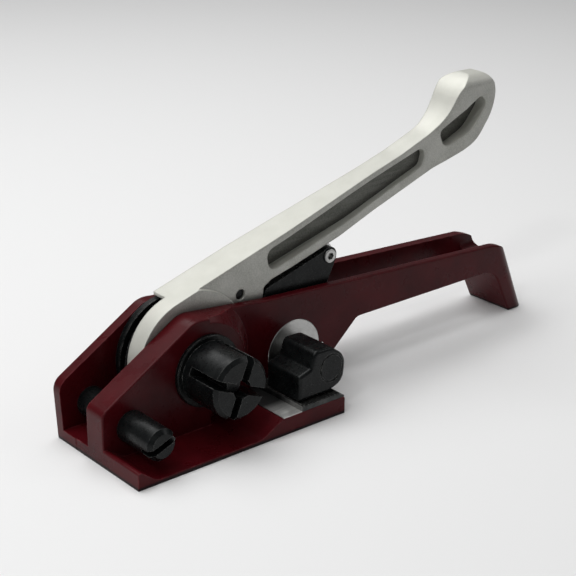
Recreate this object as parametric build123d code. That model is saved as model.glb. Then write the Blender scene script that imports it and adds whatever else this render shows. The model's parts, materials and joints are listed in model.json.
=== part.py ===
"""Windlass tensioner for cord and polyester strap: cast frame, slotted windlass, ratchet, lever and gripper.

Millimetres, +Z up. X runs from the nose (-) to the rear foot (+), and Y from the open strap bay (-) to the
far wall (+). The origin is on the frame's flat underside, below the windlass axis, on the strap's centreline.
Every rotating part turns about an axis along Y.
"""
import os
from math import cos, radians, sin

from build123d import *

# ---- driving dimensions -------------------------------------------------------------------------
AXIS_Z = 34.2          # windlass axis above the underside
NOSE_X = -63.0         # front of the frame
BASE_END_X = 68.0      # rear end of the strap bay's floor
BAY_HALF = 14.8        # strap bay, each side of the strap's centreline
PAD_PROUD = 9.4        # the near wall's pad stands this far out of the rail
WALL_T = 4.3           # near wall and rail
CHAMBER_W = 22.2       # gap between the walls, where the lever and the ratchet work
FAR_WALL_T = 6.6
PLATE_T = 2.4          # thin floor of the strap bay
BLOCK_Z = 9.5          # raised floor under the gripper
TEETH = 24             # ratchet
WHEEL_TIP_R = 26.0
WHEEL_ROOT_R = 22.4
DRUM_R = 16.6
SHAFT_R = 9.0
LEVER_TOP = 151.0      # end of the grip above the base
HUB_R = 32.6           # lever hub, tangent to the lever's top
LEVER_SLOPE = 16.7     # lever above the horizontal at rest, degrees
RUN = 0.05             # radial clearance of a running fit
GAP = 0.4              # clearance between faces that pass each other

# ---- places worked out from them ----------------------------------------------------------------
PAD_Y = BAY_HALF
RAIL_Y = PAD_Y + PAD_PROUD
IN_NEAR = RAIL_Y + WALL_T
IN_FAR = IN_NEAR + CHAMBER_W
FAR_Y = IN_FAR + FAR_WALL_T
MID_Y = (IN_NEAR + IN_FAR) / 2
AXIS = (0.0, AXIS_Z)
PIN = (-46.4, 17.8)                 # front guide pin
HUB_CENTRE = (2.0, 35.8)            # of the lever's round hub, a little ahead of its bore
HOLD_PIN = (44.0, 8.6)              # pivot of the holding pawl, low in the frame
GRIP = (65.8, 22.6)                 # gripper shaft
DRIVE_PIN = (34.3, 61.3)            # pivot of the drive pawl, in the lever
ARM_BOLT = (95.5, 68.4)             # roller at the end of the gripper arm
CHEEK_Y = (IN_NEAR + GAP, IN_NEAR + GAP + 11.3)       # lever's near cheek
WHEEL_Y = (CHEEK_Y[1] + 1.4, CHEEK_Y[1] + 5.8)
FAR_CHEEK_Y = (WHEEL_Y[1] + 1.6, IN_FAR - GAP)
LEVER_MID = (CHEEK_Y[0] + FAR_CHEEK_Y[1]) / 2
WASHER_R = 31.2
HOLD_PIN_R = 3.0
PITCH = 360 / TEETH
HOLD_ANGLE = 270                    # tooth face that the holding pawl props, straight below the axis
DRIVE_ANGLE = -PITCH                # tooth face that the drive pawl pushes, with the lever at rest


# ---- helpers ------------------------------------------------------------------------------------
def outline(points):
    """A closed face from (x, z, corner radius) points."""
    corners = [(x, z) for x, z, r in points]
    path = FilletPolyline(*corners, radius=[r for x, z, r in points], close=True)
    return make_face(path)


def side(face, y0, y1):
    """A face drawn in x and z, made solid from y0 to y1."""
    return Pos(0, y1, 0) * Rot(90, 0, 0) * extrude(face, y1 - y0)


def plate(points, y0, y1):
    return side(outline(points), y0, y1)


def rod(centre, radius, y0, y1):
    """A cylinder along Y about a centre in x and z."""
    middle = Pos(centre[0], (y0 + y1) / 2, centre[1])
    return middle * Rot(90, 0, 0) * Cylinder(radius, y1 - y0)


def ring(centre, outer, inner, y0, y1):
    return rod(centre, outer, y0, y1) - rod(centre, inner, y0 - 1, y1 + 1)


def block(x0, x1, y0, y1, z0, z1):
    middle = Pos((x0 + x1) / 2, (y0 + y1) / 2, (z0 + z1) / 2)
    return middle * Box(x1 - x0, y1 - y0, z1 - z0)


def polar(centre, radius, angle):
    """A point at an angle in degrees, from +X towards +Z."""
    return (centre[0] + radius * cos(radians(angle)), centre[1] + radius * sin(radians(angle)))


def end_edges(solid, y):
    """The edges that lie in the plane at this y."""
    return solid.edges().filter_by_position(Axis.Y, y - 0.01, y + 0.01)


def eased(solid, y, size):
    """The solid with the outline of one end face chamfered."""
    return chamfer(end_edges(solid, y), size)


def retaining_ring(centre, outer, shaft, y0, thickness):
    """An open spring ring that sits in a shaft's groove."""
    mouth = block(centre[0] - 0.3 * shaft, centre[0] + 0.3 * shaft, y0 - 1, y0 + thickness + 1,
                  centre[1] - 1.5 * outer, centre[1])
    return ring(centre, outer, shaft, y0, y0 + thickness) - mouth


def hexagon_nut(centre, flats, bore, y0, y1):
    body = side(Pos(*centre) * RegularPolygon(flats / 2, 6, major_radius=False), y0, y1)
    return body - rod(centre, bore, y0 - 1, y1 + 1)


def coil(centre, radius, wire, y0, turns):
    """A close-wound torsion spring's turns about an axis along Y."""
    pitch = wire * 2.25
    path = Helix(pitch=pitch, height=pitch * turns, radius=radius)
    section = Plane(origin=path @ 0, z_dir=path % 0) * Circle(wire)
    return Pos(centre[0], y0 + wire, centre[1]) * Rot(-90, 0, 0) * sweep(section, path=path)


# ---- the cast frame -----------------------------------------------------------------------------
FOOT_LEAN = 0.5                      # run of the foot's front face for each millimetre of drop
END_LEAN = 0.43                      # the same for its rear face
RAIL_END_Z = 45.8
RAIL_BOTTOM = 30.0
END_X = 252.9                        # rear face of the foot, on the underside
FOOT_FRONT_X = 238.0


def wall_outline(nose, shoulder):
    """Side view of a wall with its rail and foot, from the two corners that differ between the walls."""
    return outline([
        (NOSE_X, 0, 0),
        nose,
        shoulder,
        (46, 56.8, 60),
        (END_X - END_LEAN * RAIL_END_Z, RAIL_END_Z, 23),
        (END_X, 0, 1),
        (FOOT_FRONT_X, 0, 1),
        (FOOT_FRONT_X - FOOT_LEAN * RAIL_BOTTOM, RAIL_BOTTOM, 14),
        (112, RAIL_BOTTOM, 6),
        (80, 1.2, 3),
        (79, 0, 0),
    ])


def near_outline():
    return wall_outline((NOSE_X, 28.5, 5), (-6.5, 62.4, 14))


def far_outline():
    return wall_outline((NOSE_X - 1.6, 31.5, 8), (-11.3, 63.6, 14))


def frame_blank():
    """Both walls, the rails and the foot as one bar, before the chamber is cut."""
    near = rounded_side(side(near_outline(), RAIL_Y, MID_Y), RAIL_Y, 1.0)
    far = rounded_side(side(far_outline(), MID_Y, FAR_Y), FAR_Y, 1.2)
    plan = FilletPolyline((-200, RAIL_Y), (END_X, RAIL_Y), (END_X, FAR_Y), (-200, FAR_Y),
                          radius=[0, 9, 19, 0], close=True)
    leaning = extrude(make_face(plan), 120, dir=(-END_LEAN, 0, 1))
    return (near + far) & leaning


def rounded_side(bar, y, radius):
    """The bar with the outline of one side rounded, its underside left sharp."""
    raised = [edge for edge in end_edges(bar, y) if edge.bounding_box().max.Z > 0.5]
    return fillet(raised, radius)


def chamber():
    """The space between the walls, open at the front, above and below the rails."""
    front_floor = 6.4
    rear_floor = 7.0
    above = block(NOSE_X - 5, 214, IN_NEAR, IN_FAR, front_floor, 90)
    above = fillet(above.edges().filter_by(Axis.Z).filter_by_position(Axis.X, 213, 215), 8)
    under_wheel = block(-38, 52, IN_NEAR, IN_FAR, -1, front_floor + 1)
    step = block(52, 84, IN_NEAR, IN_FAR, front_floor - 1, rear_floor)
    below_rails = plate([(84, -1, 0), (84, 60, 0), (214, 60, 0),
                         (FOOT_FRONT_X - FOOT_LEAN * RAIL_BOTTOM, RAIL_BOTTOM, 12),
                         (FOOT_FRONT_X + FOOT_LEAN, -1, 0)], IN_NEAR, IN_FAR)
    saddle = block(200, 260, IN_NEAR, IN_FAR, 34, 90)
    saddle = fillet(saddle.edges().filter_by(Axis.X).filter_by_position(Axis.Z, 33, 35), 7)
    return (above - step) + under_wheel + below_rails + saddle


def near_pad():
    """The thick front part of the near wall, tapered round behind the windlass."""
    reach = 1.0
    front = plate([(NOSE_X, 0, 0), (NOSE_X, 28.5, 5), (-6.5, 62.4, 14), (3, 61.4, 0), (3, 0, 0)],
                  PAD_Y, RAIL_Y + reach)
    boss = Pos(AXIS[0], (PAD_Y + RAIL_Y + reach) / 2, AXIS_Z) * Rot(90, 0, 0) * Cone(35.0, 25.0, PAD_PROUD + reach)
    pad = front + (boss & side(near_outline(), PAD_Y - 1, RAIL_Y + 2))
    return rounded_side(pad, PAD_Y, 0.8)


def bay_floor():
    """Floor of the strap bay: raised nose lip, thin plate, ramp and gripper block."""
    return plate([
        (NOSE_X, 0, 0),
        (NOSE_X, 9.2, 1),
        (NOSE_X + 2.2, 9.2, 1),
        (NOSE_X + 11, PLATE_T, 8),
        (12.5, PLATE_T, 8),
        (25.8, BLOCK_Z, 2),
        (BASE_END_X, BLOCK_Z, 1.2),
        (BASE_END_X, 0, 0),
    ], -BAY_HALF, RAIL_Y + 1)


def frame_bores():
    """Every hole through the walls."""
    cuts = rod(AXIS, SHAFT_R + 2.5, PAD_Y - 1, IN_NEAR + 1)
    cuts += rod(AXIS, 7.0 + 2.0, IN_FAR - 1, FAR_Y + 1)
    cuts += rod(PIN, 5.0, PAD_Y - 1, FAR_Y + 1)
    cuts += rod(GRIP, 18.05, RAIL_Y - 1, IN_NEAR + 1)
    cuts += rod(GRIP, 7.0 + 2.0, IN_FAR - 1, FAR_Y + 1)
    cuts += rod(HOLD_PIN, HOLD_PIN_R, IN_NEAR - 3.5, FAR_Y + 1)
    return cuts


def plate_screw_places():
    return [(46.0, -6.0), (46.0, 12.0), (61.0, 3.0)]


def frame_casting():
    casting = frame_blank() - chamber()
    casting += near_pad()
    casting += bay_floor()
    casting -= frame_bores()
    for x, y in plate_screw_places():
        casting -= Pos(x, y, BLOCK_Z / 2) * Cylinder(2.1, BLOCK_Z + 2)
        casting -= Pos(x, y, 1.1) * Cone(4.2, 2.1, 2.4)
    return casting


# ---- pieces fixed to the frame ------------------------------------------------------------------
def gripper_plate():
    """Hardened plate on the block: a smooth ledge in front, then cross teeth."""
    tooth = 1.5
    top = BLOCK_Z + 3.2
    ledge_x = 38.8
    ledge = plate([(26.6, BLOCK_Z, 0), (26.6, BLOCK_Z + 0.5, 0), (ledge_x + 1, BLOCK_Z + 0.5, 0),
                   (ledge_x + 1, BLOCK_Z, 0)], -BAY_HALF + 0.2, RAIL_Y - GAP)
    body = block(ledge_x, BASE_END_X - 0.4, -BAY_HALF + 0.2, RAIL_Y - GAP, BLOCK_Z, top)
    count = int((BASE_END_X - 0.4 - ledge_x) / tooth)
    notch = make_face(Polyline((-tooth / 2, 0.1), (0, -0.8), (tooth / 2, 0.1), close=True))
    row = Sketch() + [Pos(ledge_x + (i + 0.5) * tooth, top) * notch for i in range(count)]
    body -= side(row, -BAY_HALF, RAIL_Y)
    ends = plate([(BASE_END_X - 3, top - 1.4, 0), (BASE_END_X, top - 2.4, 0), (BASE_END_X, top + 1, 0),
                  (BASE_END_X - 3, top + 1, 0)], -BAY_HALF - 1, RAIL_Y + 1)
    plate_solid = ledge + body - ends
    for x, y in plate_screw_places():
        plate_solid -= Pos(x, y, BLOCK_Z + 0.9) * Cylinder(1.6, 2.4)
    return plate_solid


def gripper_plate_screws():
    """Countersunk screws, driven up through the block."""
    screws = []
    for x, y in plate_screw_places():
        head = Pos(x, y, 1.2) * Cone(3.9, 1.9, 2.0)
        shank = Pos(x, y, 6.4) * Cylinder(1.6, 9.0)
        socket = Pos(x, y, 0.7) * extrude(RegularPolygon(1.2, 6), 1.0)
        screws.append(head + shank - socket)
    return Compound(children=[s.solid() for s in screws])


def front_guide_pin():
    """Shouldered pin: slotted round nose in the bay, thin shank through both walls."""
    nose_y = -12.8
    nose = eased(rod(PIN, 8.4, nose_y, PAD_Y), nose_y, 2.2)
    slot = block(PIN[0] - 12, PIN[0] + 12, nose_y - 1, nose_y + 7.5, PIN[1] - 1.7, PIN[1] + 1.7)
    slot = Pos(PIN[0], 0, PIN[1]) * Rot(0, -20, 0) * Pos(-PIN[0], 0, -PIN[1]) * slot
    shank = rod(PIN, 5.0 - RUN, PAD_Y - 1, FAR_Y + 1.0)
    thread = rod(PIN, 4.0, FAR_Y + 0.5, FAR_Y + 7.5)
    return nose - slot + shank + eased(thread, FAR_Y + 7.5, 0.7)


def guide_pin_washer():
    return ring(PIN, 8.0, 5.0 - RUN + 0.2, FAR_Y + 0.05, FAR_Y + 1.6)


def guide_pin_nut():
    return hexagon_nut(PIN, 13.0, 4.0 + 0.05, FAR_Y + 1.65, FAR_Y + 6.6)


def windlass_bush_near():
    sleeve = ring(AXIS, SHAFT_R + 2.5, SHAFT_R + RUN, PAD_Y + 0.2, IN_NEAR)
    return sleeve


def windlass_bush_far():
    return ring(AXIS, 9.0, 7.0 + RUN, IN_FAR, FAR_Y)


def gripper_bush_far():
    return ring(GRIP, 9.0, 7.0 + RUN, IN_FAR, FAR_Y)


def guide_pin_spacer():
    """Sleeve on the guide pin that keeps the walls apart at the nose."""
    return ring(PIN, 8.1, 5.0, IN_NEAR + 0.1, IN_FAR - 0.1)


def hold_pawl_pin():
    return eased(rod(HOLD_PIN, HOLD_PIN_R - 0.02, IN_NEAR - 3.3, FAR_Y - 0.3), FAR_Y - 0.3, 0.5)


def hold_pawl_spring():
    return coil(HOLD_PIN, 4.1, 0.5, IN_NEAR + 1.0, 5)


# ---- windlass -----------------------------------------------------------------------------------
def drum_slots():
    """The cross slot through the drum's end, where the strap is threaded."""
    width = 4.6
    depth = 22.0
    near_y = -BAY_HALF + 0.3
    cuts = Part()
    for angle in (67, 157):
        bar = block(-DRUM_R * 2, DRUM_R * 2, near_y - 1, near_y + depth, -width / 2, width / 2)
        cuts += Pos(0, 0, AXIS_Z) * Rot(0, -angle, 0) * bar
    return cuts


def windlass():
    """One turned piece: four-lobed drum, flange, shaft and far journal."""
    near_y = -BAY_HALF + 0.3
    drum = eased(rod(AXIS, DRUM_R, near_y, 13.5), near_y, 2.0)
    drum -= rod(AXIS, 5.2, near_y - 1, near_y + 9)
    drum -= drum_slots()
    core = eased(rod(AXIS, 5.0, near_y + 7, 13.5), near_y + 7, 0.8)
    flange = eased(rod(AXIS, 19.4, 12.4, PAD_Y - 0.1), 12.4, 0.5)
    shaft = rod(AXIS, SHAFT_R, PAD_Y - 0.5, IN_FAR - 0.3)
    journal = rod(AXIS, 7.0, IN_FAR - 1, FAR_Y + 3.6)
    groove = ring(AXIS, 8.0, 5.9, FAR_Y + 1.7, FAR_Y + 2.6)
    keyway = block(-2.03, 2.03, WHEEL_Y[0] - 0.6, WHEEL_Y[1] + 0.6, AXIS_Z + SHAFT_R - 2.0, AXIS_Z + 12)
    return drum + core + flange + shaft + eased(journal, FAR_Y + 3.6, 0.6) - groove - keyway


def wheel_outline():
    """Sawteeth: each steep face looks against the direction that lets the strap out."""
    points = []
    for i in range(TEETH):
        start = i * PITCH
        points.append(polar(AXIS, WHEEL_ROOT_R, start))
        points.append(polar(AXIS, WHEEL_ROOT_R, start + 1.0))
        points.append(polar(AXIS, WHEEL_TIP_R, start + PITCH * 0.86))
        points.append(polar(AXIS, WHEEL_TIP_R, start + PITCH))
    return make_face(Polyline(*points, close=True))


def ratchet_wheel():
    wheel = side(wheel_outline(), *WHEEL_Y)
    wheel -= rod(AXIS, SHAFT_R + 0.02, WHEEL_Y[0] - 1, WHEEL_Y[1] + 1)
    keyway = block(-2.03, 2.03, WHEEL_Y[0] - 1, WHEEL_Y[1] + 1, AXIS_Z, AXIS_Z + SHAFT_R + 2.0)
    return wheel - keyway


def ratchet_key():
    key = block(-2.0, 2.0, WHEEL_Y[0] - 0.4, WHEEL_Y[1] + 0.4,
                AXIS_Z + SHAFT_R - 1.95, AXIS_Z + SHAFT_R + 1.9)
    return key


def pawl_guide_washers():
    """Two thin discs that keep the pawls in line with the wheel."""
    inner = SHAFT_R + 2.4
    near = ring(AXIS, WASHER_R, inner, WHEEL_Y[0] - 1.1, WHEEL_Y[0] - 0.05)
    far = ring(AXIS, WASHER_R, inner, WHEEL_Y[1] + 0.05, WHEEL_Y[1] + 1.1)
    return Compound(children=[near.solid(), far.solid()])


def ratchet_spacer():
    """Wide disc that fills the space between the ratchet and the far wall."""
    disc = ring(AXIS, WASHER_R - 0.4, SHAFT_R + 0.02, WHEEL_Y[1] + 1.2, IN_FAR - 0.3)
    return disc


def windlass_washer():
    return ring(AXIS, 11.0, 7.0 + 0.1, FAR_Y + 0.1, FAR_Y + 1.6)


def windlass_ring():
    return retaining_ring(AXIS, 8.6, 5.9, FAR_Y + 1.7, 0.9)


# ---- tension lever ------------------------------------------------------------------------------
def lever_outline():
    """Side view of the lever from its hub to the upturned grip end."""
    start = polar(HUB_CENTRE, HUB_R, 90 + LEVER_SLOPE)
    return outline([
        (*start, 0),
        (150, 114.0, 25),
        (181, 125.6, 34),
        (196.6, LEVER_TOP + 1, 24),
        (216, LEVER_TOP + 1, 10),
        (219.6, 141.0, 10),
        (219.0, 130.0, 28),
        (206, 113.0, 22),
        (184, 104.6, 20),
        (104, 77.2, 40),
        (55, 64.8, 4),
        (49.8, 61.6, 3),
        (48.0, 46, 6),
        (22, 20, 0),
        (-20, 36, 0),
    ])


def lever_plan():
    """Plan view that narrows the lever's stem and widens its ends."""
    half = (FAR_CHEEK_Y[1] - CHEEK_Y[0]) / 2
    stem = 6.7
    mid = LEVER_MID
    path = FilletPolyline(
        (-40, mid - half), (40, mid - half), (128, mid - stem), (175, mid - stem), (198, mid - half - 0.4),
        (226, mid - half - 0.4), (226, mid + half), (198, mid + half), (175, mid + stem),
        (128, mid + stem), (40, mid + half), (-40, mid + half),
        radius=[0, 60, 60, 20, 20, 6, 6, 20, 20, 60, 60, 0], close=True)
    return extrude(make_face(path), 200)


def lever_front():
    """Front view of the lever: the grip's end is rounded over towards both sides."""
    low = CHEEK_Y[0] - 6
    high = FAR_CHEEK_Y[1] + 6
    half = (FAR_CHEEK_Y[1] - CHEEK_Y[0]) / 2
    path = FilletPolyline(
        (low, -10), (low, 124), (LEVER_MID - half - 0.4, 130), (LEVER_MID - half - 0.4, LEVER_TOP),
        (LEVER_MID + half + 0.4, LEVER_TOP), (LEVER_MID + half + 0.4, 130), (high, 124), (high, -10),
        radius=[0, 0, 0, 8.5, 8.5, 0, 0, 0], close=True)
    return extrude(Plane.YZ * make_face(path), 300, both=True)


def pocket_outlines():
    """The long pocket beside the stem and the short one in the grip."""
    long_one = outline([(51.5, 80.8, 5), (54, 68.8, 5), (112, 84.6, 60), (167, 104.4, 4.5), (170.5, 116.8, 4.5),
                        (112, 99.4, 60)])
    short_one = outline([(178.5, 122.0, 4), (182.5, 111.8, 4.5), (202, 120.0, 18), (213.5, 133.5, 4.5),
                         (208.5, 139.6, 4), (193, 131.0, 20)])
    return long_one, short_one


def lever():
    """Cast lever: near cheek with the hub, roof over the ratchet, far cheek, pocketed stem."""
    casting = side(lever_outline(), CHEEK_Y[0], FAR_CHEEK_Y[1]) & lever_plan() & lever_front()
    casting -= side(ratchet_room(), CHEEK_Y[1], FAR_Y)
    hub = rod(HUB_CENTRE, HUB_R, *CHEEK_Y)
    casting += hub
    proud = 1.3
    face = CHEEK_Y[0] + proud
    skin = block(-60, 130, CHEEK_Y[0] - 5, face, -10, 190)
    raised = Pos(0, CHEEK_Y[0], AXIS_Z) * Rot(90, 0, 0) * Cone(40.0, 35.0, 10)
    casting -= skin - raised
    web = 2.6
    for shape in pocket_outlines():
        casting -= side(shape, -10, LEVER_MID - web)
        casting -= side(shape, LEVER_MID + web, FAR_Y + 10)
    casting -= pawl_cavity()
    casting -= rod(AXIS, SHAFT_R + 2.0, 0, FAR_Y)
    casting -= rod(DRIVE_PIN, 3.0, 0, FAR_Y)
    return casting


def ratchet_room():
    """Side view of the space that the lever leaves for the ratchet, beyond its near cheek."""
    front = outline([(-60, -10, 0), (-60, 90, 0), (-6.3, 90, 0), (-6.3, 34, 0), (30, 52, 0), (70, 52, 0),
                     (70, -10, 0)])
    return front + Pos(*AXIS) * Circle(WASHER_R + 0.9)


def pawl_cavity():
    """Slot in the underside that the drive pawl swings in."""
    return plate([(-30, 10, 0), (-30, 50, 0), (10, 60, 0), (26, 69.5, 3), (41, 71.5, 5), (49, 66, 5), (49, 58, 0),
                  (60, 10, 0)], CHEEK_Y[1] + 0.01, FAR_CHEEK_Y[0])


def lever_bush():
    return ring(AXIS, SHAFT_R + 2.0, SHAFT_R + RUN, CHEEK_Y[0] - 0.1, CHEEK_Y[1])


def drive_pawl_pin():
    return eased(rod(DRIVE_PIN, 2.95, CHEEK_Y[0] + 2.4, FAR_CHEEK_Y[1] - 0.4), CHEEK_Y[0] + 2.4, 0.5)


def drive_pawl_spring():
    """Bent leaf fixed to the end of the lever's cavity, resting on the pawl's back."""
    thick = 0.3
    line = Polyline((48.6, 63.0), (48.6, 60.0), (41.3, 52.5))
    leaf = make_face(offset(line, thick, side=Side.BOTH))
    return side(leaf, WHEEL_Y[0] + 0.7, WHEEL_Y[1] - 0.7)


# ---- pawls --------------------------------------------------------------------------------------
def pawl_tip(angle):
    """The end of a pawl in a tooth gap, just clear of the steep face at this angle and of the slope."""
    slack = 1.3
    front = [polar(AXIS, WHEEL_ROOT_R + 0.5, angle + slack + 0.3), polar(AXIS, WHEEL_TIP_R + 1.2, angle + slack)]
    back = [polar(AXIS, WHEEL_TIP_R + 0.6, angle + 12.9), polar(AXIS, WHEEL_ROOT_R + 1.5, angle + 4.2)]
    return front, back


def drive_pawl():
    """Hangs from its pin in the lever and pushes one tooth as the lever is pulled down."""
    front, back = pawl_tip(DRIVE_ANGLE)
    body = make_face(Polyline(*front, (30.4, 31.0), (36.8, 44.0), (40.6, 59.0), (27.9, 62.0),
                              (28.4, 43.0), *back, close=True))
    pawl = side(body, WHEEL_Y[0] + 0.2, WHEEL_Y[1] - 0.2)
    pawl += rod(DRIVE_PIN, 6.6, WHEEL_Y[0] - 0.8, WHEEL_Y[1] + 1.0)
    return pawl - rod(DRIVE_PIN, 2.95 + RUN, 0, FAR_Y)


def hold_pawl():
    """Lies under the wheel and props one tooth so that the windlass can't run back."""
    front, back = pawl_tip(HOLD_ANGLE)
    body = make_face(Polyline(*front, (2.0, 4.6), (44.0, 4.6), (50.6, 11.2), (48.0, 13.4), (37.5, 11.0),
                              (24.0, 8.0), (8.0, 7.4), *back, close=True))
    pawl = side(body, WHEEL_Y[0] + 0.2, WHEEL_Y[1] - 0.2)
    pawl += rod(HOLD_PIN, 5.2, WHEEL_Y[0] - 2.0, WHEEL_Y[1] + 2.0)
    return pawl - rod(HOLD_PIN, HOLD_PIN_R + RUN, 0, FAR_Y)


# ---- gripper ------------------------------------------------------------------------------------
def gripper_shaft():
    """Large bright journal in the near wall, neck for the jaw, shaft through the chamber."""
    journal = eased(rod(GRIP, 18.0, RAIL_Y - 0.2, IN_NEAR), RAIL_Y - 0.2, 0.4)
    neck = rod(GRIP, 9.0, 6.0, RAIL_Y + 1)
    shaft = rod(GRIP, 8.0, IN_NEAR - 1, IN_FAR - 0.3)
    end = eased(rod(GRIP, 7.0, IN_FAR - 1, FAR_Y + 3.6), FAR_Y + 3.6, 0.6)
    groove = ring(GRIP, 8.0, 5.9, FAR_Y + 1.7, FAR_Y + 2.6)
    key = block(GRIP[0] - 1.53, GRIP[0] + 1.53, 31, 46, GRIP[1] + 6.2, GRIP[1] + 12)
    return journal + neck + shaft + end - groove - key - jaw_pin_place() * Cylinder(1.5, 30)


def jaw_outline():
    return outline([
        (50.5, 38.6, 3.0),
        (62.0, 38.2, 8.0),
        (71.4, 31.0, 9.0),
        (70.2, 16.4, 8.4),
        (59.5, 13.4, 3.0),
        (39.6, 13.4, 0.8),
        (39.6, 27.4, 2.0),
        (47.2, 29.6, 2.0),
    ])


def jaw_pin_place():
    return Pos(GRIP[0], 10.0, GRIP[1]) * Rot(0, -40, 0) * Rot(0, 90, 0)


def gripper_jaw():
    """Eccentric jaw with a toothed toe, pinned to the shaft's neck."""
    near_y = -11.4
    jaw = side(jaw_outline(), near_y, 14.0)
    jaw = fillet(end_edges(jaw, near_y), 1.8)
    boss = (61.4, 26.8)
    jaw -= ring(boss, 8.0, 7.0, near_y - 1, near_y + 0.5)
    tooth = make_face(Polyline((-0.8, -0.1), (0, 0.8), (0.8, -0.1), close=True))
    row = Sketch() + [Pos(41.5 + i * 1.6, 13.4) * tooth for i in range(12)]
    jaw -= side(row, near_y - 1, RAIL_Y)
    jaw -= rod(GRIP, 9.0 + 0.02, 5.9, RAIL_Y + 1)
    return jaw - jaw_pin_place() * Cylinder(1.5, 60)


def gripper_jaw_pin():
    """Roll pin through the jaw and the shaft's neck."""
    length = 22.0
    return jaw_pin_place() * (Cylinder(1.5, length) - Cylinder(0.8, length + 1))


def gripper_arm():
    """Bell crank on the gripper shaft whose roller the lever presses."""
    y0, y1 = IN_NEAR + 1.5, IN_NEAR + 16.5
    fork = (y0 + 4.5, y1 - 4.5)
    web = outline([
        (57.0, 62.0, 3.0),
        (51.0, 60.2, 3.0),
        (49.5, 50.0, 6.0),
        (52.3, 24.0, 0),
        (66.0, 9.6, 0),
        (79.0, 22.0, 0),
        (100.4, 66.6, 0),
        (96.8, 73.2, 0),
    ])
    arm = side(web, y0, y1)
    arm += rod(GRIP, 13.5, y0, y1)
    arm += rod(ARM_BOLT, 5.0, y0, y1)
    arm -= rod(ARM_BOLT, 8.6, *fork)
    arm -= rod(ARM_BOLT, 2.05, y0 - 1, y1 + 1)
    arm -= rod(GRIP, 8.0 + 0.02, y0 - 1, y1 + 1)
    arm -= block(GRIP[0] - 1.53, GRIP[0] + 1.53, y0 - 1, y1 + 1, GRIP[1], GRIP[1] + 10.2)
    light = outline([(60, 50, 4), (56, 40, 4), (60, 37, 4), (74, 40, 4), (86, 57, 4), (80, 60, 4)])
    arm -= side(light, y0 - 1, y0 + 0.01)
    return arm


def gripper_arm_key():
    return block(GRIP[0] - 1.5, GRIP[0] + 1.5, 31.2, 45.0, GRIP[1] + 6.25, GRIP[1] + 10.1)


def gripper_arm_roller():
    y0, y1 = IN_NEAR + 1.5 + 4.7, IN_NEAR + 16.5 - 4.7
    return ring(ARM_BOLT, 6.1, 2.05, y0, y1)


def gripper_arm_bolt():
    """Socket-head bolt that carries the roller."""
    y0, y1 = IN_NEAR + 1.5, IN_NEAR + 16.5
    head = eased(rod(ARM_BOLT, 3.9, y0 - 1.1, y0 - 0.05), y0 - 1.1, 0.3)
    shank = rod(ARM_BOLT, 2.0, y0 - 0.5, y1 + 3.2)
    socket = side(Pos(*ARM_BOLT) * RegularPolygon(2.1, 6), y0 - 2, y0 + 1.2)
    return head + shank - socket


def gripper_arm_nut():
    y1 = IN_NEAR + 16.5
    return hexagon_nut(ARM_BOLT, 7.0, 2.03, y1 + 0.05, y1 + 2.9)


def gripper_spring():
    return coil(GRIP, 10.0, 0.8, IN_NEAR + 17.2, 1.4)


def gripper_washer():
    return ring(GRIP, 11.0, 7.0 + 0.1, FAR_Y + 0.1, FAR_Y + 1.6)


def gripper_ring():
    return retaining_ring(GRIP, 8.6, 5.9, FAR_Y + 1.7, 0.9)


NODES = {
    "frame_casting": frame_casting,
    "gripper_plate": gripper_plate,
    "gripper_plate_screws": gripper_plate_screws,
    "front_guide_pin": front_guide_pin,
    "guide_pin_washer": guide_pin_washer,
    "guide_pin_nut": guide_pin_nut,
    "guide_pin_spacer": guide_pin_spacer,
    "windlass_bush_near": windlass_bush_near,
    "windlass_bush_far": windlass_bush_far,
    "gripper_bush_far": gripper_bush_far,
    "windlass_drum": windlass,
    "ratchet_wheel": ratchet_wheel,
    "ratchet_key": ratchet_key,
    "pawl_guide_washers": pawl_guide_washers,
    "ratchet_spacer": ratchet_spacer,
    "windlass_washer": windlass_washer,
    "windlass_ring": windlass_ring,
    "tension_lever": lever,
    "lever_bush": lever_bush,
    "drive_pawl_pin": drive_pawl_pin,
    "drive_pawl": drive_pawl,
    "drive_pawl_spring": drive_pawl_spring,
    "hold_pawl": hold_pawl,
    "hold_pawl_pin": hold_pawl_pin,
    "hold_pawl_spring": hold_pawl_spring,
    "gripper_shaft": gripper_shaft,
    "gripper_jaw": gripper_jaw,
    "gripper_jaw_pin": gripper_jaw_pin,
    "gripper_arm": gripper_arm,
    "gripper_arm_key": gripper_arm_key,
    "gripper_arm_roller": gripper_arm_roller,
    "gripper_arm_bolt": gripper_arm_bolt,
    "gripper_arm_nut": gripper_arm_nut,
    "gripper_spring": gripper_spring,
    "gripper_washer": gripper_washer,
    "gripper_ring": gripper_ring,
}

os.makedirs("parts", exist_ok=True)
for name, make in NODES.items():
    export_step(make(), f"parts/{name}.step")
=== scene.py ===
import json
import math

import bpy
from mathutils import Matrix, Vector

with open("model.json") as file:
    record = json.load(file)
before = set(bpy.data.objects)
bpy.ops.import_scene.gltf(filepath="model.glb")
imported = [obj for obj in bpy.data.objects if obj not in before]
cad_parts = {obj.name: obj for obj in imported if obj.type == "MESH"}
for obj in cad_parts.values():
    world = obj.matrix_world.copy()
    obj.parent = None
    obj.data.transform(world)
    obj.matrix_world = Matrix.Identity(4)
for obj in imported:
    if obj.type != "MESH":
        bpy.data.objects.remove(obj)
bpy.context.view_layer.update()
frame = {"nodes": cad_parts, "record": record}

nodes = frame["nodes"]
MM = 0.001

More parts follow.
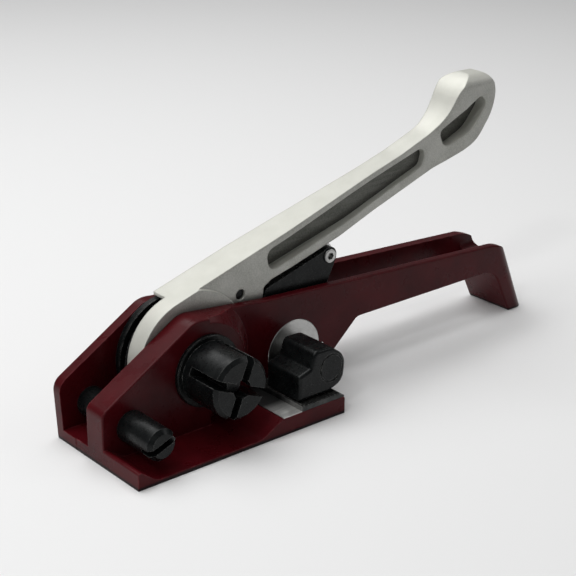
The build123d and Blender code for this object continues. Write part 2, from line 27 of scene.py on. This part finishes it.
# Places on the tool that the finishes and the painted light and shade depend on, in millimetres.
LEVER_WEB_Y = 39.6               # middle plane of the lever
POCKET_FLOOR = (3.4, 3.0)        # distance from that plane, outside and inside the pockets' floors, where their painted shade begins and is full
GRIPPER_AXIS = (65.8, 0, 22.6)   # any point on it
LEDGE_END_X = (38.6, 38.9)       # where the plate's smooth ledge ends and its teeth begin
LEDGE_SHADE_Y = (-6.0, 3.0)      # the ledge is ground bright before the first and painted dark with shade past the second
TOOTH_Z = (12.15, 12.65)         # flank and crest of the plate's teeth
CONTACT_SHADOW_Z = (2.0, 1.1)             # painted contact shadow along the frame's lower edge fades out and is full

CAMERA_PLACE = (-0.4101, -0.5353, 0.3575)
CAMERA_ANGLES = (-40.124, 22.119, 0.390)      # azimuth, elevation and roll in degrees
CAMERA_LENS = 93.75
CAMERA_SENSOR = 36.0
FLOOR_HALF = 6.0


# ---- node helpers -------------------------------------------------------------------------------
class Material:
    """A node material built up by short calls; places are in object coordinates, in millimetres."""

    def __init__(self, name):
        self.material = bpy.data.materials.new(name)
        self.material.use_nodes = True
        self.tree = self.material.node_tree
        self.shader = self.tree.nodes["Principled BSDF"]
        coords = self.add("ShaderNodeTexCoord")
        scale = self.add("ShaderNodeMapping")
        scale.inputs["Scale"].default_value = (1000, 1000, 1000)
        self.link(coords.outputs["Object"], scale.inputs["Vector"])
        self.place = scale.outputs["Vector"]

    def add(self, kind, **settings):
        node = self.tree.nodes.new(kind)
        for key, value in settings.items():
            setattr(node, key, value)
        return node

    def link(self, a, b):
        self.tree.links.new(a, b)

    def set(self, **values):
        for key, value in values.items():
            self.shader.inputs[key.replace("_", " ")].default_value = value

    def stretched(self, x, y, z):
        """The place with each axis multiplied, for a pattern drawn out along one direction."""
        node = self.add("ShaderNodeMapping")
        node.inputs["Scale"].default_value = (x, y, z)
        self.link(self.place, node.inputs["Vector"])
        return node.outputs["Vector"]

    def noise(self, size, detail=3.0, rough=0.55, place=None):
        """Noise whose features are about this many millimetres across."""
        node = self.add("ShaderNodeTexNoise")
        node.inputs["Scale"].default_value = 1.0 / size
        node.inputs["Detail"].default_value = detail
        node.inputs["Roughness"].default_value = rough
        self.link(place or self.place, node.inputs["Vector"])
        return node.outputs["Fac"]

    def grains(self, size):
        """Rounded cells, about this many millimetres across."""
        node = self.add("ShaderNodeTexVoronoi", feature="SMOOTH_F1")
        node.inputs["Scale"].default_value = 1.0 / size
        self.link(self.place, node.inputs["Vector"])
        return node.outputs["Distance"]

    def split(self, vector):
        """The x, y and z of a vector."""
        node = self.add("ShaderNodeSeparateXYZ")
        self.link(vector, node.inputs[0])
        return node.outputs

    def between(self, value, low, high, out_low=0.0, out_high=1.0):
        """Maps low..high to out_low..out_high, held at the ends; low may be the larger one."""
        node = self.add("ShaderNodeMapRange")
        for name, number in (("From Min", low), ("From Max", high), ("To Min", out_low), ("To Max", out_high)):
            node.inputs[name].default_value = number
        self.link(value, node.inputs["Value"])
        return node.outputs["Result"]

    def math(self, operation, a, b=None):
        """A sum on sockets; b may also be a number."""
        node = self.add("ShaderNodeMath", operation=operation)
        for socket, value in zip(node.inputs, (a, b)):
            if isinstance(value, (int, float)):
                socket.default_value = value
            elif value is not None:
                self.link(value, socket)
        return node.outputs["Value"]

    def mix(self, factor, a, b):
        """One colour turning into another; each is a colour or a socket."""
        node = self.add("ShaderNodeMix", data_type="RGBA")
        self.link(factor, node.inputs["Factor"])
        for socket, value in ((node.inputs["A"], a), (node.inputs["B"], b)):
            if isinstance(value, tuple):
                socket.default_value = (*value, 1.0)
            else:
                self.link(value, socket)
        return node.outputs["Result"]

    def edge_highlight_mask(self, radius, low, high):
        """1 along the sharp outer edges and 0 on open faces; the mask for painted edge highlights."""
        soft = self.add("ShaderNodeBevel", samples=4)
        soft.inputs["Radius"].default_value = radius * MM
        plain = self.add("ShaderNodeNewGeometry")
        dot = self.add("ShaderNodeVectorMath", operation="DOT_PRODUCT")
        self.link(soft.outputs["Normal"], dot.inputs[0])
        self.link(plain.outputs["Normal"], dot.inputs[1])
        return self.between(dot.outputs["Value"], high, low)

    def rounded(self, radius):
        """Shades sharp edges as if they were rounded by this many millimetres."""
        node = self.add("ShaderNodeBevel", samples=4)
        node.inputs["Radius"].default_value = radius * MM
        return node.outputs["Normal"]

    def bump(self, height, distance, strength=1.0, after=None):
        """Adds relief of this depth in millimetres; returns the normal, to stack another on."""
        node = self.add("ShaderNodeBump")
        node.inputs["Distance"].default_value = distance * MM
        node.inputs["Strength"].default_value = strength
        self.link(height, node.inputs["Height"])
        if after is not None:
            self.link(after, node.inputs["Normal"])
        self.link(node.outputs["Normal"], self.shader.inputs["Normal"])
        return node.outputs["Normal"]

    def colour(self, socket):
        self.link(socket, self.shader.inputs["Base Color"])

    def roughness(self, socket):
        self.link(socket, self.shader.inputs["Roughness"])


# ---- materials ----------------------------------------------------------------------------------
def powder_coat():
    """Dark red powder coat: fine orange peel over a cast surface, slightly mottled, with painted highlights
    along the edges and a painted contact shadow along the lower edge.
    """
    m = Material("red_powder_coat")
    m.set(Metallic=0.0, Specular_IOR_Level=0.13)
    cloud = m.noise(26, detail=4, rough=0.6)
    deep = m.mix(m.between(cloud, 0.35, 0.68), (0.042, 0.0019, 0.0036), (0.066, 0.0030, 0.0054))
    specks = m.between(m.noise(0.9, detail=2), 0.62, 0.78)
    spotted = m.mix(m.math("MULTIPLY", specks, 0.35), deep, (0.15, 0.016, 0.022))
    # Painted highlight: the sharp edges are lightened, broken into patches.
    highlight_edges = m.edge_highlight_mask(0.9, 0.80, 0.97)
    patchy = m.between(m.noise(5.0, detail=4), 0.42, 0.62)
    with_highlights = m.mix(m.math("MULTIPLY", highlight_edges, m.math("ADD", m.math("MULTIPLY", patchy, 0.5), 0.12)),
                  spotted, (0.34, 0.075, 0.085))
    # Painted contact shadow: the frame turns near-black below 2 mm, fully so below 1.1 mm.
    contact_shadow = m.between(m.split(m.place)["Z"], *CONTACT_SHADOW_Z)
    m.colour(m.mix(contact_shadow, with_highlights, (0.008, 0.002, 0.003)))
    m.roughness(m.between(m.noise(11, detail=4), 0.3, 0.7, 0.24, 0.36))
    first = m.bump(m.noise(2.4, detail=2), 0.06, 0.4, after=m.rounded(0.6))
    m.bump(m.grains(0.55), 0.015, 0.4, after=first)
    return m.material


def cast_lever():
    """Pale satin casting: smooth top and edges, grainy blasted sides, the floors of the pockets darkened and
    streaked as painted shade, and painted occlusion shade on the sides.
    """
    m = Material("satin_cast_alloy")
    m.set(Metallic=0.4, Specular_IOR_Level=0.4)
    geometry = m.add("ShaderNodeNewGeometry")
    side = m.between(m.math("ABSOLUTE", m.split(geometry.outputs["Normal"])["Y"]), 0.55, 0.95)
    grain = m.noise(0.8, detail=4, rough=0.7)
    patch = m.noise(14, detail=3)
    side_tone = m.mix(m.between(grain, 0.3, 0.7), (0.30, 0.30, 0.275), (0.52, 0.52, 0.485))
    side_tone = m.mix(m.math("MULTIPLY", m.between(patch, 0.4, 0.65), 0.4), side_tone, (0.60, 0.60, 0.565))
    top_tone = m.mix(m.between(patch, 0.35, 0.65), (0.56, 0.56, 0.51), (0.60, 0.60, 0.55))
    tone = m.mix(side, top_tone, side_tone)

    # Painted shade: the side faces at the floors of the pockets are darkened.
    depth = m.math("ABSOLUTE", m.math("SUBTRACT", m.split(m.place)["Y"], LEVER_WEB_Y))
    pocket_shade = m.math("MULTIPLY", side, m.between(depth, *POCKET_FLOOR))
    pocket_shade_tone = m.mix(m.between(grain, 0.35, 0.65), (0.075, 0.076, 0.066), (0.150, 0.152, 0.136))
    streak = m.between(m.noise(3.0, place=m.stretched(0.12, 1.0, 1.4)), 0.5, 0.62)
    pocket_shade_tone = m.mix(m.math("MULTIPLY", streak, 0.25), pocket_shade_tone, (0.22, 0.22, 0.20))

    # Painted shade: ambient occlusion darkens the side faces in creases and recesses.
    occlusion_probe = m.add("ShaderNodeAmbientOcclusion", samples=6)
    occlusion_probe.inputs["Distance"].default_value = 7 * MM
    occlusion_shade = m.between(occlusion_probe.outputs["AO"], 0.25, 0.80, 0.30, 1.0)
    shaded = m.add("ShaderNodeMix", data_type="RGBA", blend_type="MULTIPLY")
    shaded.inputs["Factor"].default_value = 1.0
    m.link(m.mix(pocket_shade, tone, pocket_shade_tone), shaded.inputs["A"])
    m.link(m.mix(side, (1.0, 1.0, 1.0), occlusion_shade), shaded.inputs["B"])
    m.colour(shaded.outputs["Result"])
    m.roughness(m.between(grain, 0.3, 0.7, 0.40, 0.58))
    first = m.bump(m.noise(0.7, detail=3, rough=0.7), 0.07, 0.6, after=m.rounded(1.3))
    m.bump(m.noise(5, detail=2), 0.03, 0.2, after=first)
    return m.material


def black_oxide():
    """Oiled black steel, slightly mottled, with painted highlights along its edges."""
    m = Material("black_oxide_steel")
    m.set(Metallic=0.3, Specular_IOR_Level=0.22)
    patch = m.noise(8, detail=4)
    dark = m.mix(m.between(patch, 0.35, 0.65), (0.0035, 0.0042, 0.0046), (0.0085, 0.0098, 0.0098))
    # Painted highlight: the sharp edges are lightened in patches.
    highlight_edges = m.edge_highlight_mask(0.55, 0.72, 0.95)
    patchy = m.between(m.noise(3.0, detail=4), 0.40, 0.60)
    edge_highlight_amount = m.math("MULTIPLY", highlight_edges, m.math("ADD", m.math("MULTIPLY", patchy, 0.6), 0.08))
    m.colour(m.mix(edge_highlight_amount, dark, (0.30, 0.30, 0.29)))
    m.roughness(m.between(m.noise(2.2, detail=4), 0.3, 0.7, 0.22, 0.38))
    first = m.bump(m.noise(0.9, detail=3), 0.03, 0.5, after=m.rounded(0.35))
    m.bump(m.noise(6, detail=2), 0.08, 0.25, after=first)
    return m.material


def turned_steel():
    """Bright steel with fine circular turning lines about the gripper's axis."""
    tone = (0.52, 0.52, 0.51)
    rough = 0.28
    m = Material("turned_steel")
    m.set(Metallic=1.0, Anisotropic=0.35)
    centre = m.add("ShaderNodeVectorMath", operation="SUBTRACT")
    centre.inputs[1].default_value = GRIPPER_AXIS
    m.link(m.place, centre.inputs[0])
    flat = m.add("ShaderNodeVectorMath", operation="MULTIPLY")
    flat.inputs[1].default_value = (1, 0, 1)
    m.link(centre.outputs["Vector"], flat.inputs[0])
    length = m.add("ShaderNodeVectorMath", operation="LENGTH")
    m.link(flat.outputs["Vector"], length.inputs[0])
    lines = m.add("ShaderNodeTexNoise", noise_dimensions="1D")
    lines.inputs["Scale"].default_value = 3.2
    lines.inputs["Detail"].default_value = 4
    m.link(length.outputs["Value"], lines.inputs["W"])
    patch = m.noise(6, detail=4)
    light = m.mix(m.between(lines.outputs["Fac"], 0.3, 0.7), tuple(0.78 * t for t in tone), tone)
    m.colour(m.mix(m.between(patch, 0.5, 0.75), light, tuple(0.7 * t for t in tone)))
    m.roughness(m.between(patch, 0.3, 0.7, rough, rough + 0.14))
    first = m.bump(lines.outputs["Fac"], 0.02, 0.5, after=m.rounded(0.25))
    m.bump(m.noise(0.6, detail=3), 0.01, 0.4, after=first)
    return m.material


def toothed_steel():
    """Hardened plate: ground bright ledge in front, painted dark with shade further back, then darkened teeth
    with scuffed crests.
    """
    m = Material("hardened_plate")
    m.set(Metallic=0.85)
    place = m.split(m.place)
    toothed = m.between(place["X"], *LEDGE_END_X)
    crest = m.between(place["Z"], *TOOTH_Z)
    patch = m.noise(4, detail=4)
    dark = m.mix(m.between(patch, 0.35, 0.65), (0.030, 0.031, 0.031), (0.075, 0.077, 0.076))
    speckled = m.math("MULTIPLY", crest, m.between(m.noise(1.1, detail=3), 0.42, 0.60))
    teeth = m.mix(speckled, dark, (0.19, 0.19, 0.18))
    brushed = m.noise(3, place=m.stretched(0.25, 2.0, 1.0))
    ground = m.mix(m.between(brushed, 0.3, 0.7), (0.50, 0.50, 0.49), (0.70, 0.70, 0.68))
    # Painted shade: the ledge turns dark further back, behind the drum.
    ground = m.mix(m.between(place["Y"], *LEDGE_SHADE_Y), ground, (0.05, 0.05, 0.05))
    m.colour(m.mix(toothed, ground, teeth))
    m.roughness(m.between(patch, 0.3, 0.7, 0.34, 0.50))
    m.bump(m.noise(0.7, detail=3), 0.02, 0.5, after=m.rounded(0.2))
    return m.material


def spring_wire():
    """Drawn wire, grey with lighter patches."""
    m = Material("drawn_wire")
    m.set(Metallic=1.0)
    m.colour(m.mix(m.between(m.noise(1.2), 0.3, 0.7), (0.16, 0.165, 0.17), (0.34, 0.345, 0.35)))
    m.roughness(m.between(m.noise(0.5), 0.3, 0.7, 0.25, 0.4))
    return m.material


def bush_bronze():
    """Sintered bronze with fine dark pores."""
    m = Material("sintered_bronze")
    m.set(Metallic=1.0)
    pores = m.between(m.grains(0.5), 0.12, 0.3)
    m.colour(m.mix(pores, (0.18, 0.11, 0.05), (0.50, 0.33, 0.16)))
    m.roughness(m.between(m.noise(1.5), 0.3, 0.7, 0.32, 0.5))
    m.bump(pores, 0.02, 0.5)
    return m.material


# ---- finish of the CAD nodes --------------------------------------------------------------------
def finish_nodes():
    """Gives every node the finish of its material slot; the gripper plate has its own."""
    by_slot = {
        "frame_paint": powder_coat(),
        "lever_cast": cast_lever(),
        "black_oxide": black_oxide(),
        "bright_steel": turned_steel(),
        "spring_steel": spring_wire(),
        "bronze": bush_bronze(),
    }
    plate = toothed_steel()
    slots = {s["node"]: s["material_slot"] for s in frame["record"]["subparts"]}
    for name, obj in nodes.items():
        material = plate if name == "gripper_plate" else by_slot[slots[name]]
        obj.data.materials.clear()
        obj.data.materials.append(material)


# ---- studio -------------------------------------------------------------------------------------
def floor():
    """A wide pale sweep of floor under the tool."""
    mesh = bpy.data.meshes.new("studio_floor")
    corners = [(x * FLOOR_HALF, y * FLOOR_HALF, 0) for x, y in ((-1, -1), (1, -1), (1, 1), (-1, 1))]
    mesh.from_pydata(corners, [], [(0, 1, 2, 3)])
    obj = bpy.data.objects.new("studio_floor", mesh)
    bpy.context.scene.collection.objects.link(obj)
    material = bpy.data.materials.new("studio_floor")
    material.use_nodes = True
    shader = material.node_tree.nodes["Principled BSDF"]
    shader.inputs["Base Color"].default_value = (0.80, 0.80, 0.80, 1)
    shader.inputs["Roughness"].default_value = 0.9
    shader.inputs["Specular IOR Level"].default_value = 0.1
    mesh.materials.append(material)


def area_light(name, place, target, size, power):
    """A white softbox at a place, turned to its target."""
    light = bpy.data.lights.new(name, "AREA")
    light.shape = "RECTANGLE"
    light.size, light.size_y = size
    light.energy = power
    obj = bpy.data.objects.new(name, light)
    aim = Vector(target) - Vector(place)
    obj.matrix_world = Matrix.Translation(place) @ aim.to_track_quat("-Z", "Y").to_matrix().to_4x4()
    bpy.context.scene.collection.objects.link(obj)


def lights():
    """A large softbox overhead, two weak fills, a small lamp for glints and a dim white world."""
    middle = (0.08, 0.03, 0.05)
    area_light("key_softbox", (-0.10, 0.45, 1.30), middle, (1.6, 1.3), 20.5)
    area_light("fill_left", (-1.3, 0.2, 0.8), middle, (0.5, 0.7), 3.0)
    area_light("glint", (-0.75, -0.35, 0.95), middle, (0.10, 0.10), 1.6)
    area_light("fill_right", (1.2, -0.5, 1.0), middle, (0.5, 0.5), 1.5)
    world = bpy.data.worlds.new("studio")
    world.use_nodes = True
    world.node_tree.nodes["Background"].inputs["Color"].default_value = (1, 1, 1, 1)
    world.node_tree.nodes["Background"].inputs["Strength"].default_value = 0.16
    bpy.context.scene.world = world


def camera():
    """Long lens from the front left, looking down on the open strap bay."""
    azimuth, elevation, roll = (math.radians(a) for a in CAMERA_ANGLES)
    back = Vector((math.sin(azimuth) * math.cos(elevation), -math.cos(azimuth) * math.cos(elevation),
                   math.sin(elevation)))
    right = (-back).cross(Vector((0, 0, 1))).normalized()
    up = right.cross(-back)
    x_axis = math.cos(roll) * right + math.sin(roll) * up
    y_axis = -math.sin(roll) * right + math.cos(roll) * up
    data = bpy.data.cameras.new("camera")
    data.lens = CAMERA_LENS
    data.sensor_width = CAMERA_SENSOR
    data.clip_start = 0.01
    obj = bpy.data.objects.new("camera", data)
    turn = Matrix((x_axis, y_axis, back)).transposed().to_4x4()
    obj.matrix_world = Matrix.Translation(CAMERA_PLACE) @ turn
    bpy.context.scene.collection.objects.link(obj)
    bpy.context.scene.camera = obj


finish_nodes()
floor()
lights()
camera()
bpy.context.scene.view_settings.view_transform = "Standard"
